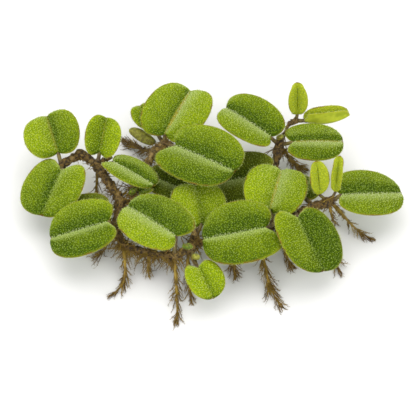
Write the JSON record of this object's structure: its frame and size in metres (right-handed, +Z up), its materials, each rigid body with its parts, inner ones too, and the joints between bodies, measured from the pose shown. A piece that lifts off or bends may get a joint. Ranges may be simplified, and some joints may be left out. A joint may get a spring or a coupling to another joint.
{
  "type": "eared watermoss",
  "caption": "Clump of floating fern: paired, folded, hairy green leaves on brown branching rhizomes, with feathery brown tassels that it lies on.",
  "frame": {"origin": "middle of the clump's outline, on the surface that its tassels lie on", "axes": "+X to the right across the clump's long side, +Y to the back, away from where the picture was taken, +Z up"},
  "size_m": [0.0958, 0.0715, 0.0184],
  "materials": {
    "grown_leaf": "matt, with short pale hairs",
    "young_leaf": "matt, with short pale hairs",
    "shaded_leaf": "matt, with short pale hairs",
    "rolled_leaf": "matt, hairy",
    "bud": "slightly glossy",
    "brown_rhizome": "rough, scaly, damp",
    "papery_rhizome": "dry and papery",
    "tassel": "feathery threads"
  },
  "bodies": {
    "root": {"bud_back_left": "bud", "bud_cap": "bud", "bud_front": "bud", "bud_left": "bud", "bud_right": "bud", "leaf_back_left": "grown_leaf", "leaf_back_left_small": "young_leaf", "leaf_back_middle": "grown_leaf", "leaf_bud_round": "young_leaf", "leaf_center_back": "grown_leaf", "leaf_center_right": "grown_leaf", "leaf_center_shaded": "shaded_leaf", "leaf_center_small": "grown_leaf", "leaf_center_under": "shaded_leaf", "leaf_far_left_back": "grown_leaf", "leaf_far_left_front": "grown_leaf", "leaf_far_right": "grown_leaf", "leaf_front_center": "grown_leaf", "leaf_front_center_left": "grown_leaf", "leaf_front_left": "grown_leaf", "leaf_front_left_under": "shaded_leaf", "leaf_front_right": "grown_leaf", "leaf_front_small": "young_leaf", "leaf_left_inner": "grown_leaf", "leaf_left_small": "young_leaf", "leaf_right_back": "grown_leaf", "leaf_right_under": "shaded_leaf", "leaf_rolled_back_left": "rolled_leaf", "leaf_young_back_folded": "young_leaf", "leaf_young_back_upright": "young_leaf", "leaf_young_right_folded": "young_leaf", "leaf_young_right_spoon": "young_leaf", "rhizome_back_left": "papery_rhizome", "rhizome_back_left_arm": "papery_rhizome", "rhizome_center": "papery_rhizome", "rhizome_far_left": "brown_rhizome", "rhizome_far_right": "brown_rhizome", "rhizome_front_left": "brown_rhizome", "rhizome_front_right": "brown_rhizome", "rhizome_left": "brown_rhizome", "rhizome_left_stub": "brown_rhizome", "rhizome_right": "brown_rhizome", "rhizome_young_shoot": "papery_rhizome", "tassel_back_left": "tassel", "tassel_back_right": "tassel", "tassel_far_left": "tassel", "tassel_far_right": "tassel", "tassel_far_right_short": "tassel", "tassel_front": "tassel", "tassel_front_branch": "tassel", "tassel_front_left": "tassel", "tassel_front_left_side": "tassel", "tassel_front_middle": "tassel", "tassel_front_middle_left": "tassel", "tassel_front_right": "tassel", "tassel_front_right_side": "tassel", "tassel_left": "tassel", "tassel_right_under": "tassel"}
  },
  "joints": []
}
